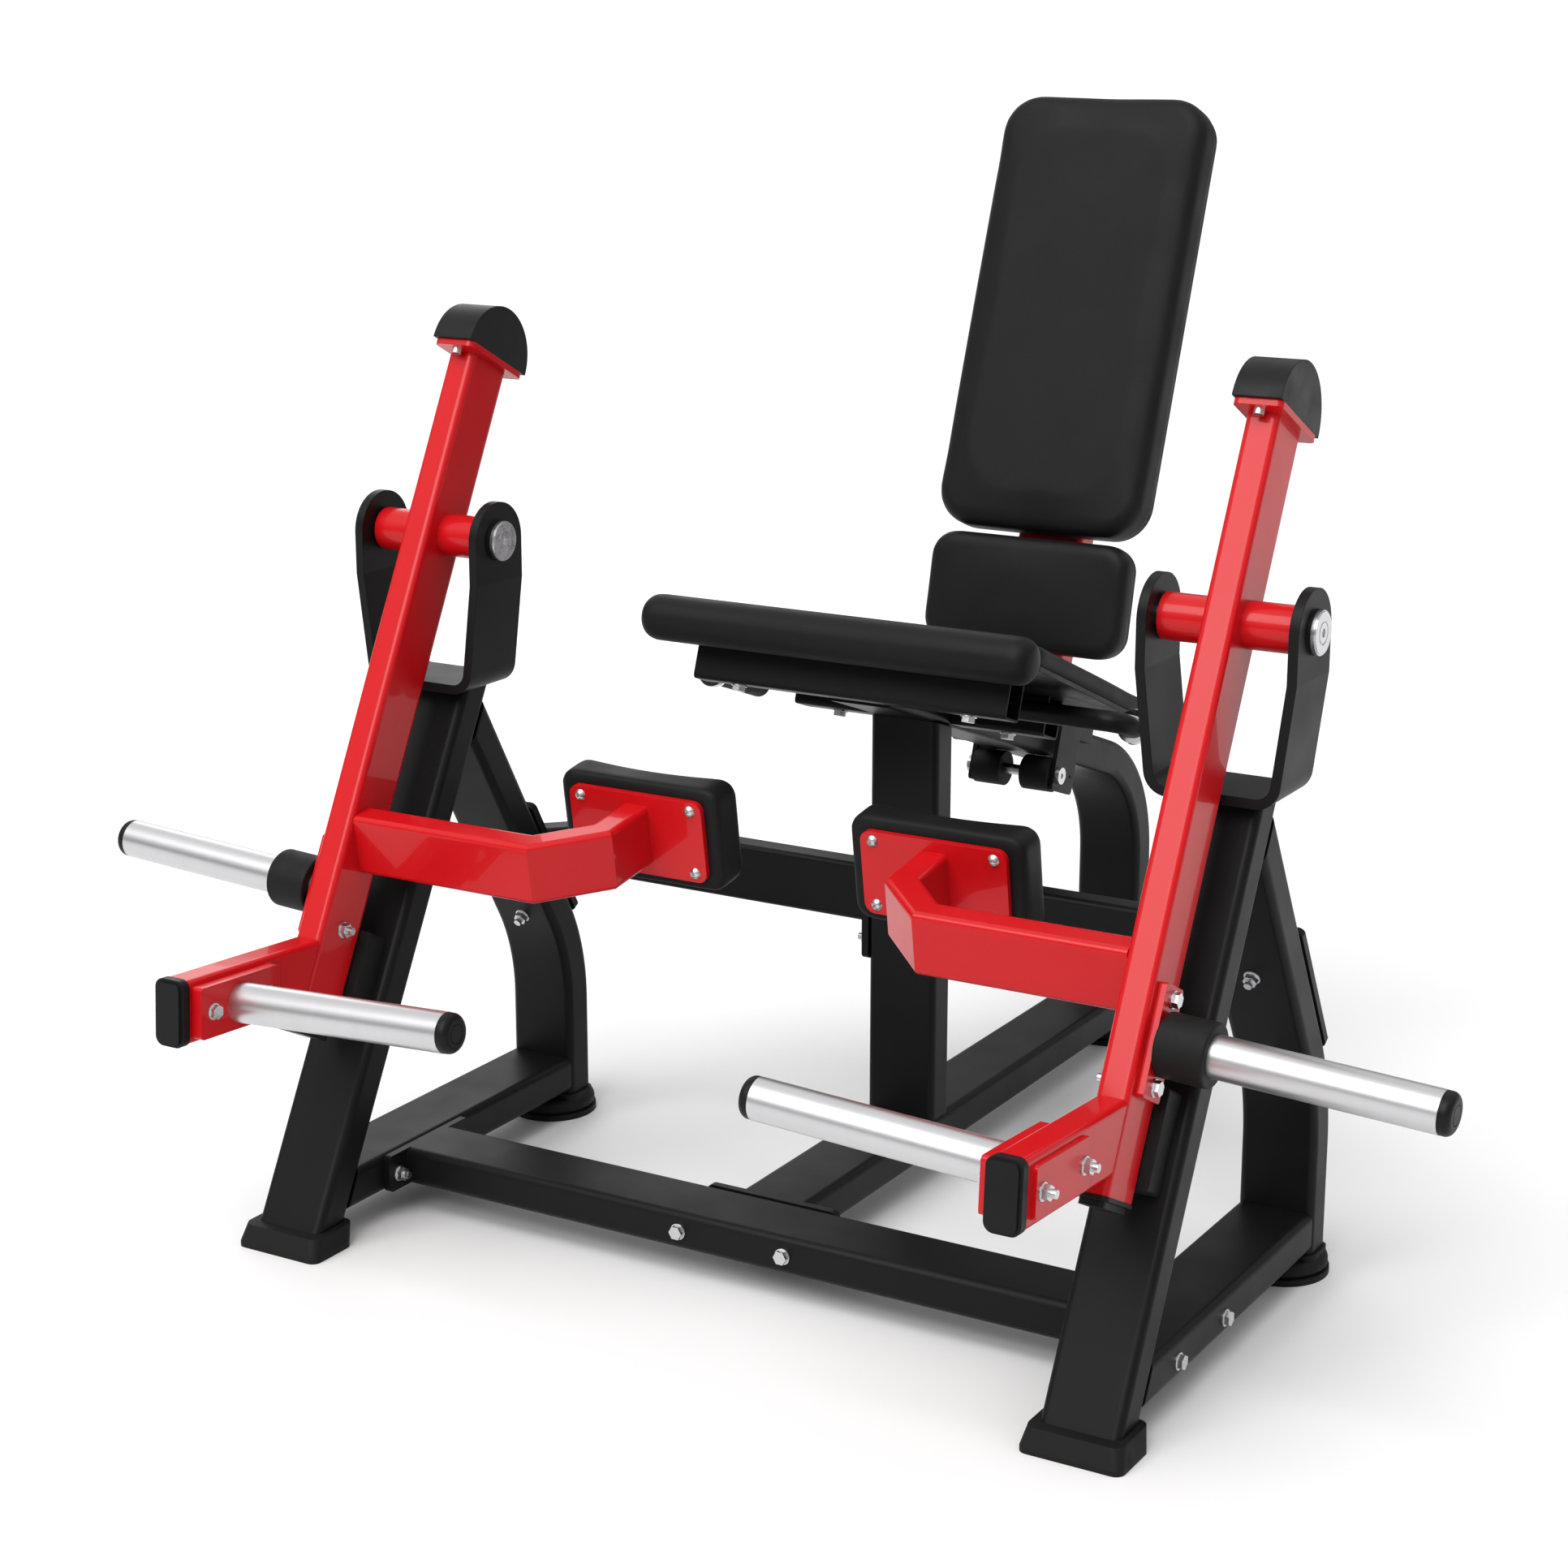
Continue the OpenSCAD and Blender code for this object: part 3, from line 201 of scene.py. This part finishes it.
def make_world():
    """A plain room: a bright ceiling that fades to dimmer walls, and white as the camera sees it."""
    world = bpy.data.worlds.new("Studio")
    bpy.context.scene.world = world
    world.use_nodes = True
    tree = world.node_tree
    link = tree.links.new
    up = tree.nodes.new("ShaderNodeSeparateXYZ")
    link(tree.nodes.new("ShaderNodeTexCoord").outputs["Generated"], up.inputs["Vector"])
    height = tree.nodes.new("ShaderNodeMapRange")
    height.interpolation_type = "SMOOTHSTEP"
    ends = {"From Min": WALL_HEIGHT, "From Max": CEILING_HEIGHT,
            "To Min": WALL_LIGHT, "To Max": CEILING_LIGHT}
    for socket, value in ends.items():
        height.inputs[socket].default_value = value
    link(up.outputs["Z"], height.inputs["Value"])
    room = tree.nodes["Background"]
    room.inputs["Color"].default_value = (1, 1, 1, 1)
    link(height.outputs["Result"], room.inputs["Strength"])
    seen = tree.nodes.new("ShaderNodeBackground")
    seen.inputs["Color"].default_value = (1, 1, 1, 1)
    path = tree.nodes.new("ShaderNodeLightPath")
    mix = tree.nodes.new("ShaderNodeMixShader")
    link(path.outputs["Is Camera Ray"], mix.inputs["Fac"])
    link(room.outputs["Background"], mix.inputs[1])
    link(seen.outputs["Background"], mix.inputs[2])
    link(mix.outputs["Shader"], tree.nodes["World Output"].inputs["Surface"])


def make_floor():
    half = FLOOR_HALF
    mesh = bpy.data.meshes.new("Floor")
    corners = [(-half, -half, 0), (half, -half, 0), (half, half, 0), (-half, half, 0)]
    mesh.from_pydata(corners, [], [(0, 1, 2, 3)])
    floor = bpy.data.objects.new("Floor", mesh)
    floor.location.z = cad_box[0].z - FLOOR_GAP
    bpy.context.scene.collection.objects.link(floor)
    paint = Finish("floor_paint", (0.78, 0.78, 0.78), 0.8, Specular_IOR_Level=0.2)
    mesh.materials.append(paint.material)


# ---- Finishes ----

class Finish:
    """A procedural material: one Principled shader, with patterns in the object's coordinates."""

    def __init__(self, name, colour, roughness, **fixed):
        self.material = bpy.data.materials.new(name)
        self.material.use_nodes = True
        self.tree = self.material.node_tree
        self.shader = self.tree.nodes["Principled BSDF"]
        self.shader.inputs["Base Color"].default_value = (*colour, 1)
        self.shader.inputs["Roughness"].default_value = roughness
        for socket, value in fixed.items():
            self.shader.inputs[socket.replace("_", " ")].default_value = value
        self.place = self.add("ShaderNodeTexCoord").outputs["Object"]

    def add(self, kind, values=None, **settings):
        node = self.tree.nodes.new(kind)
        for setting, value in settings.items():
            setattr(node, setting, value)
        for socket, value in (values or {}).items():
            if isinstance(value, bpy.types.NodeSocket):
                self.tree.links.new(value, node.inputs[socket])
            else:
                node.inputs[socket].default_value = value
        return node

    def noise(self, size, detail=2.0, squeeze=(1, 1, 1)):
        """A soft random pattern with blobs about size metres across, squeezed along each axis."""
        place = self.add("ShaderNodeMapping", {"Vector": self.place, "Scale": squeeze})
        values = {"Vector": place.outputs["Vector"], "Scale": 1 / size, "Detail": detail}
        return self.add("ShaderNodeTexNoise", values).outputs["Fac"]

    def cells(self, size, feature):
        """Distances in a pattern of cells about size metres across."""
        values = {"Vector": self.place, "Scale": 1 / size}
        return self.add("ShaderNodeTexVoronoi", values, feature=feature).outputs["Distance"]

    def spread(self, value, low, high, from_low=0.3, from_high=0.7):
        """The value, taken from its usual range to the range low to high."""
        ends = {"Value": value, "From Min": from_low, "From Max": from_high,
                "To Min": low, "To Max": high}
        return self.add("ShaderNodeMapRange", ends).outputs["Result"]

    def maths(self, operation, a, b):
        return self.add("ShaderNodeMath", {0: a, 1: b}, operation=operation).outputs["Value"]

    def mix(self, factor, first, second):
        node = self.add("ShaderNodeMix", {"Factor": factor}, data_type="RGBA")
        for socket, colour in ((node.inputs[6], first), (node.inputs[7], second)):
            socket.default_value = (*colour, 1)
        return node.outputs[2]

    def link(self, value, socket):
        self.tree.links.new(value, self.shader.inputs[socket])

    def soft_edges(self, radius):
        """A normal that rounds sharp edges off."""
        return self.add("ShaderNodeBevel", {"Radius": radius}, samples=4).outputs["Normal"]

    def bump(self, height, depth, under=None):
        values = {"Height": height, "Distance": depth, "Strength": 1.0}
        if under is not None:
            values["Normal"] = under
        return self.add("ShaderNodeBump", values).outputs["Normal"]


def frame_paint():
    """Satin black powder coat with a fine orange peel and faint handling marks."""
    paint = Finish("frame_paint", (0.005, 0.005, 0.0053), 0.44, Specular_IOR_Level=0.15)
    patches = paint.noise(90 * MM, 3)
    grain = paint.noise(1.5 * MM, 1)
    paint.link(paint.mix(patches, (0.0042, 0.0042, 0.0044), (0.0062, 0.0062, 0.0065)), "Base Color")
    paint.link(paint.spread(patches, 0.39, 0.48), "Roughness")
    paint.link(paint.bump(grain, 0.02 * MM, paint.soft_edges(1.6 * MM)), "Normal")
    return paint.material


def lever_paint():
    """Gloss red powder coat under a clear layer."""
    paint = Finish("lever_paint", (0.51, 0.004, 0.007), 0.32, Specular_IOR_Level=0.15,
                   Coat_Weight=0.32, Coat_Roughness=0.035)
    patches = paint.noise(120 * MM, 2)
    grain = paint.noise(2.2 * MM, 1)
    paint.link(paint.mix(patches, (0.49, 0.0035, 0.006), (0.53, 0.0045, 0.008)), "Base Color")
    paint.link(paint.spread(patches, 0.28, 0.38), "Roughness")
    paint.link(paint.bump(grain, 0.008 * MM, paint.soft_edges(1.4 * MM)), "Normal")
    return paint.material


def plated_sleeve():
    """Satin chrome on a turned tube: faint rings along it and slight scuffs from weight plates."""
    metal = Finish("sleeve_chrome", (0.61, 0.61, 0.62), 0.35, Metallic=1.0)
    rings = metal.noise(1.2 * MM, 1, (1, 0.03, 0.03))
    scuffs = metal.noise(60 * MM, 2, (2.5, 0.6, 0.6))
    metal.link(metal.mix(scuffs, (0.59, 0.59, 0.60), (0.64, 0.64, 0.65)), "Base Color")
    metal.link(metal.spread(rings, 0.34, 0.36), "Roughness")
    return metal.material


def bright_chrome():
    metal = Finish("bright_chrome", (0.9, 0.9, 0.91), 0.08, Metallic=1.0)
    marks = metal.noise(9 * MM, 4)
    metal.link(metal.spread(marks, 0.05, 0.14), "Roughness")
    metal.link(metal.mix(marks, (0.86, 0.86, 0.87), (0.93, 0.93, 0.94)), "Base Color")
    return metal.material


def zinc_plate():
    """Bright zinc on fasteners, cloudy, with soft edges."""
    metal = Finish("zinc_plate", (0.76, 0.76, 0.78), 0.26, Metallic=1.0)
    clouds = metal.noise(9 * MM, 1)
    metal.link(metal.mix(clouds, (0.60, 0.60, 0.62), (0.66, 0.66, 0.68)), "Base Color")
    metal.link(metal.spread(clouds, 0.26, 0.32), "Roughness")
    metal.link(metal.soft_edges(0.5 * MM), "Normal")
    return metal.material


def cast_coat():
    """Satin black coat over the casting of the counterweights."""
    coat = Finish("cast_coat", (0.0055, 0.0055, 0.0058), 0.45, Specular_IOR_Level=0.17)
    grain = coat.noise(2.4 * MM, 3)
    coat.link(coat.mix(grain, (0.005, 0.005, 0.0053), (0.008, 0.008, 0.0083)), "Base Color")
    coat.link(coat.spread(coat.noise(40 * MM, 3), 0.36, 0.5), "Roughness")
    coat.link(coat.bump(grain, 0.06 * MM, coat.soft_edges(2.2 * MM)), "Normal")
    return coat.material


def moulded_rubber():
    rubber = Finish("moulded_rubber", (0.007, 0.007, 0.007), 0.6, Specular_IOR_Level=0.17)
    grain = rubber.noise(0.9 * MM, 2)
    dust = rubber.noise(30 * MM, 4)
    rubber.link(rubber.mix(dust, (0.006, 0.006, 0.006), (0.0095, 0.0095, 0.0092)), "Base Color")
    rubber.link(rubber.spread(dust, 0.5, 0.68), "Roughness")
    rubber.link(rubber.bump(grain, 0.03 * MM, rubber.soft_edges(1.5 * MM)), "Normal")
    return rubber.material


def moulded_plastic():
    plastic = Finish("moulded_plastic", (0.006, 0.006, 0.0063), 0.42, Specular_IOR_Level=0.16)
    grain = plastic.noise(0.7 * MM, 1)
    shade = plastic.noise(25 * MM, 2)
    plastic.link(plastic.mix(shade, (0.005, 0.005, 0.0053), (0.008, 0.008, 0.0083)), "Base Color")
    plastic.link(plastic.spread(shade, 0.36, 0.48), "Roughness")
    plastic.link(plastic.bump(grain, 0.02 * MM, plastic.soft_edges(1.2 * MM)), "Normal")
    return plastic.material


def vinyl():
    """Black vinyl upholstery: pebbled leather grain with fine creases."""
    skin = Finish("black_vinyl", (0.007, 0.007, 0.0073), 0.5, Specular_IOR_Level=0.13,
                  Sheen_Weight=0.01, Sheen_Roughness=0.4)
    pebbles = skin.cells(1.5 * MM, "SMOOTH_F1")
    creases = skin.cells(2.3 * MM, "DISTANCE_TO_EDGE")
    shade = skin.noise(70 * MM, 3)
    grain = skin.maths("ADD", pebbles, skin.spread(creases, 0, 0.4, 0, 0.12))
    skin.link(skin.mix(shade, (0.006, 0.006, 0.0063), (0.009, 0.009, 0.0093)), "Base Color")
    skin.link(skin.spread(shade, 0.44, 0.56), "Roughness")
    skin.link(skin.bump(grain, 0.05 * MM), "Normal")
    return skin.material


def finish_nodes(looks):
    """Gives every CAD node the finish of its material slot."""
    slots = {part["node"]: part["material_slot"] for part in frame["record"]["subparts"]}
    for name, thing in nodes.items():
        thing.data.materials.clear()
        thing.data.materials.append(looks[slots[name]])


# ---- Cushions ----

def rounded_outline(width, length, radius):
    """Points of a rectangle with round corners, counter-clockwise."""
    steps = CORNER_STEPS
    points = []
    for turn, (sx, sy) in enumerate(((1, 1), (-1, 1), (-1, -1), (1, -1))):
        centre = Vector((sx * (width / 2 - radius), sy * (length / 2 - radius)))
        for step in range(steps + 1):
            angle = math.pi / 2 * (turn + step / steps)
            points.append(centre + radius * Vector((math.cos(angle), math.sin(angle))))
    return points


def slab(name, size, corner, front_round, back_round):
    """A closed slab standing on z = 0, with round edges at the front (top) and the back."""
    width, length, thick = size
    rings = []
    for step in range(BACK_STEPS + 1):
        angle = math.pi / 2 * step / BACK_STEPS
        rings.append((back_round * (1 - math.sin(angle)), back_round * (1 - math.cos(angle))))
    for step in range(FRONT_STEPS + 1):
        angle = math.pi / 2 * step / FRONT_STEPS
        height = thick - front_round * (1 - math.sin(angle))
        rings.append((front_round * (1 - math.cos(angle)), height))
    shape = bmesh.new()
    loops = []
    for inset, height in rings:
        radius = max(corner - inset, LEAST_CORNER)
        outline = rounded_outline(width - 2 * inset, length - 2 * inset, radius)
        loops.append([shape.verts.new((p.x, p.y, height)) for p in outline])
    join_loops(shape, loops)
    shape.faces.new(list(reversed(loops[0])))
    shape.faces.new(loops[-1])
    return finished_mesh(name, shape)


def turns(count):
    """Angles of count points spread evenly round a circle."""
    return [2 * math.pi * i / count for i in range(count)]


def join_loops(shape, loops):
    """Faces between each loop of vertices and the next."""
    for low, high in zip(loops, loops[1:]):
        for i in range(len(low)):
            j = (i + 1) % len(low)
            shape.faces.new((low[i], low[j], high[j], high[i]))


def finished_mesh(name, shape):
    bmesh.ops.recalc_face_normals(shape, faces=shape.faces)
    mesh = bpy.data.meshes.new(name)
    shape.to_mesh(mesh)
    shape.free()
    return mesh


def new_object(name, mesh):
    thing = bpy.data.objects.new(name, mesh)
    bpy.context.scene.collection.objects.link(thing)
    return thing


def apply_modifiers(thing):
    """Keeps the evaluated shape as the object's own mesh."""
    bpy.context.view_layer.update()
    evaluated = thing.evaluated_get(bpy.context.evaluated_depsgraph_get())
    mesh = bpy.data.meshes.new_from_object(evaluated)
    thing.modifiers.clear()
    thing.data = mesh


def remesh(thing, voxel):
    modifier = thing.modifiers.new("remesh", "REMESH")
    modifier.mode = "VOXEL"
    modifier.voxel_size = voxel
    apply_modifiers(thing)


def relax(thing, times):
    modifier = thing.modifiers.new("relax", "SMOOTH")
    modifier.factor = RELAX_FACTOR
    modifier.iterations = times
    apply_modifiers(thing)


def evened(thing, shifts, times):
    """The shifts of the vertices, each averaged with its neighbours' so that no pucker is left."""
    near = [[] for _ in shifts]
    for edge in thing.data.edges:
        a, b = edge.vertices
        near[a].append(b)
        near[b].append(a)
    for _ in range(times):
        shifts = [sum((shifts[i] for i in around), shift) / (len(around) + 1)
                  for shift, around in zip(shifts, near)]
    return shifts


def inflate(thing, pressure, cap, held_below=-math.inf, give=(1.0, 1.0, 1.0), even=0):
    """Cloth skin under inner pressure.

    The vertices with z under held_below stay, and the others move up to cap. give is the share of
    the swelling that the skin keeps along each axis, and even is how often it is averaged."""
    rest = [vertex.co.copy() for vertex in thing.data.vertices]
    group = thing.vertex_groups.new(name="held")
    group.add([i for i, place in enumerate(rest) if place.z < held_below], 1.0, "REPLACE")
    cloth = thing.modifiers.new("cloth", "CLOTH")
    settings = cloth.settings
    for setting, value in CLOTH.items():
        setattr(settings, setting, value)
    settings.use_pressure = True
    settings.uniform_pressure_force = pressure
    settings.vertex_group_mass = "held"
    settings.effector_weights.gravity = 0
    cloth.collision_settings.use_collision = False
    scene = bpy.context.scene
    for number in range(1, CLOTH_FRAMES + 1):
        scene.frame_set(number)
    apply_modifiers(thing)
    scene.frame_set(1)
    vertices = thing.data.vertices
    shifts = [(vertex.co - place) * Vector(give) for vertex, place in zip(vertices, rest)]
    for vertex, place, shift in zip(vertices, rest, evened(thing, shifts, even)):
        vertex.co = place + shift * min(1, cap / max(shift.length, LEAST_SHIFT))


def subdivide(thing):
    modifier = thing.modifiers.new("smooth", "SUBSURF")
    modifier.levels = modifier.render_levels = 1
    apply_modifiers(thing)
    for polygon in thing.data.polygons:
        polygon.use_smooth = True


def pad_frame(node, turn):
    """The pad's own axes at the middle of its back face, and its size, from its CAD node.

    turn takes the pad's axes (X across, Y along, Z out of the front face) to the CAD frame."""
    back = turn.inverted()
    places = [back @ vertex.co for vertex in nodes[node].data.vertices]
    low = Vector(min(p[i] for p in places) for i in range(3))
    high = Vector(max(p[i] for p in places) for i in range(3))
    size = high - low
    middle = Vector(((low.x + high.x) / 2, (low.y + high.y) / 2, low.z))
    return Matrix.Translation((turn @ middle)) @ turn, size


def ride_on_node(thing, node, slot):
    """Finish from a slot of the record, and the same body as a CAD node."""
    thing.data.materials.clear()
    thing.data.materials.append(looks[slot])
    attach(thing, node_body[node])


def cushion(name, node, turn, corner, front_round=18 * MM, back_round=5 * MM, margin=1.5 * MM,
            crown=5 * MM, dish=0.0, voxel=5 * MM, board=BOARD_T):
    """A padded cushion in place of a CAD slab: a slightly smaller slab, blown up by a simulation.

    crown is the most that it swells, dish hollows its front across, and board is the height of the
    board under it."""
    place, size = pad_frame(node, turn)
    inner = (size.x - 2 * margin, size.y - 2 * margin, size.z - board - crown * FOAM_GIVE[2])
    thing = new_object(name, slab(name, inner, corner - margin, front_round, back_round))
    remesh(thing, voxel)
    relax(thing, RELAX_BEFORE)
    for vertex in thing.data.vertices:
        hollow = dish * (1 - min(abs(vertex.co.x) / (size.x / 2), 1) ** 2)
        vertex.co.z -= hollow * max(vertex.co.z / size.z, 0)
    inflate(thing, CUSHION_PRESSURE, crown, CUSHION_HELD, FOAM_GIVE, EVEN_TIMES)
    relax(thing, RELAX_AFTER)
    subdivide(thing)
    thing.data.transform(place @ Matrix.Translation((0, 0, board)))
    ride_on_node(thing, node, "upholstery")
    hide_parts(node)
    if board:
        make_board(f"{name}_board", node, place, size, corner)


def make_board(name, node, place, size, corner):
    """The thin board that a cushion is wrapped on, seen at its back."""
    inset = BOARD_INSET
    flat = (size.x - 2 * inset, size.y - 2 * inset, BOARD_T + BOARD_IN_CUSHION)
    thing = new_object(name, slab(name, flat, corner - inset, *BOARD_EDGES))
    thing.data.transform(place)
    ride_on_node(thing, node, "black_plastic")


def screw_heads(name, node, turn, heights, spots):
    """Button heads on the steel plates behind a cushion.

    The plates are at heights along it. Each has four, at plus and minus the two spots."""
    place, size = pad_frame(node, turn)
    shape = bmesh.new()
    middles = [Vector((x, height + y - size.y / 2, -PLATE_T)) for height in heights
               for x in (-spots[0], spots[0]) for y in (-spots[1], spots[1])]
    for middle in middles:
        loops = []
        for r, z in SCREW_RINGS:
            ring = [Vector((r * math.cos(angle), r * math.sin(angle), -z))
                    for angle in turns(SCREW_SIDES)]
            loops.append([shape.verts.new(middle + SCREW_R * point) for point in ring])
        join_loops(shape, loops)
        shape.faces.new(loops[0])
        shape.faces.new(loops[-1])
    thing = new_object(name, finished_mesh(name, shape))
    thing.data.transform(place)
    ride_on_node(thing, node, "zinc_steel")


def upright_plug(name, node, turn):
    """The plastic plug in the open top of the upright, placed from the cushion in front of it."""
    place, size = pad_frame(node, turn)
    depth = UPRIGHT_SECTION[1]
    thing = new_object(name, slab(name, (*UPRIGHT_SECTION, PLUG_T), UPRIGHT_CORNER, *PLUG_EDGES))
    top = Matrix.Translation((0, UPRIGHT_TOP - size.y / 2, -PLATE_T - depth / 2))
    thing.data.transform(place @ top @ tilt_x(-math.pi / 2))
    ride_on_node(thing, node, "black_plastic")


def roll_cushion(name, node):
    """The round roll at the front of the seat, with softly domed ends."""
    low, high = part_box(node)
    middle = (low + high) / 2
    length, radius = high.x - low.x, (high.z - low.z) / 2
    shape = bmesh.new()
    end = []
    for step in range(ROLL_END_STEPS + 1):
        angle = math.pi / 2 * step / ROLL_END_STEPS
        out, along = 1 - math.sin(angle), 1 - math.cos(angle)
        end.append((radius - ROLL_END * out, length / 2 - ROLL_END * along))
    straight = length - 2 * ROLL_END
    middle_part = [(radius, straight * (step / ROLL_STATIONS - 0.5))
                   for step in range(1, ROLL_STATIONS)]
    profile = [(r, -x) for r, x in end] + middle_part + list(reversed(end))
    loops = []
    for r, x in profile:
        ring = [(x, r * math.cos(angle), r * math.sin(angle)) for angle in turns(ROLL_SIDES)]
        loops.append([shape.verts.new(point) for point in ring])
    join_loops(shape, loops)
    for loop, x in ((loops[0], -length / 2), (loops[-1], length / 2)):
        tip = shape.verts.new((x, 0, 0))
        for i in range(ROLL_SIDES):
            shape.faces.new((loop[i], loop[(i + 1) % ROLL_SIDES], tip))
    thing = new_object(name, finished_mesh(name, shape))
    remesh(thing, ROLL_VOXEL)
    for vertex in thing.data.vertices:
        across = Vector((0, vertex.co.y, vertex.co.z))
        if across.length > ROLL_CORE:
            vertex.co -= across.normalized() * ROLL_SHRINK
    inflate(thing, ROLL_PRESSURE, ROLL_CROWN)
    relax(thing, ROLL_RELAX)
    subdivide(thing)
    thing.data.transform(Matrix.Translation(middle))
    ride_on_node(thing, node, "upholstery")
    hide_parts(node)


def tilt_x(angle):
    return Matrix.Rotation(angle, 4, "X")


def make_cushions():
    up_to_front = tilt_x(math.pi / 2)                # pad axes of an upright pad facing -Y
    up_to_back = Matrix.Rotation(math.pi, 4, "Z") @ up_to_front
    cushion("seat_cushion", "seat_pad", tilt_x(-SEAT_SLOPE), 22 * MM, front_round=12 * MM,
            crown=4 * MM)
    upper, lower = tilt_x(-BACK_LEAN) @ up_to_front, tilt_x(-LUMBAR_LEAN) @ up_to_front
    cushion("upper_back_cushion", "upper_back_pad", upper, 56 * MM)
    cushion("lower_back_cushion", "lower_back_pad", lower, 38 * MM, front_round=14 * MM)
    upright_plug("upright_plug", "upper_back_pad", upper)
    screw_heads("upper_back_screws", "upper_back_pad", upper, UPPER_PLATES, UPPER_SCREWS)
    screw_heads("lower_back_screws", "lower_back_pad", lower, (LOWER_PLATE,), LOWER_SCREWS)
    shin = tilt_x(-SHIN_TILT) @ up_to_back
    for side in ("left", "right"):
        cushion(f"{side}_shin_cushion", f"{side}_shin_pad", shin, 22 * MM, front_round=13 * MM,
                back_round=8 * MM, margin=1 * MM, crown=3 * MM, dish=12 * MM, voxel=4.5 * MM,
                board=0)
    roll_cushion("seat_roll_cushion", "seat_roll")


# ---- Build ----

make_camera()
make_world()
make_lights()
make_floor()

looks = {
    "frame_paint": frame_paint(),
    "lever_paint": lever_paint(),
    "horn_metal": plated_sleeve(),
    "chrome": bright_chrome(),
    "zinc_steel": zinc_plate(),
    "weight_coat": cast_coat(),
    "black_rubber": moulded_rubber(),
    "black_plastic": moulded_plastic(),
    "upholstery": vinyl(),
}
finish_nodes(looks)
make_cushions()

bpy.context.scene.view_settings.view_transform = "Standard"
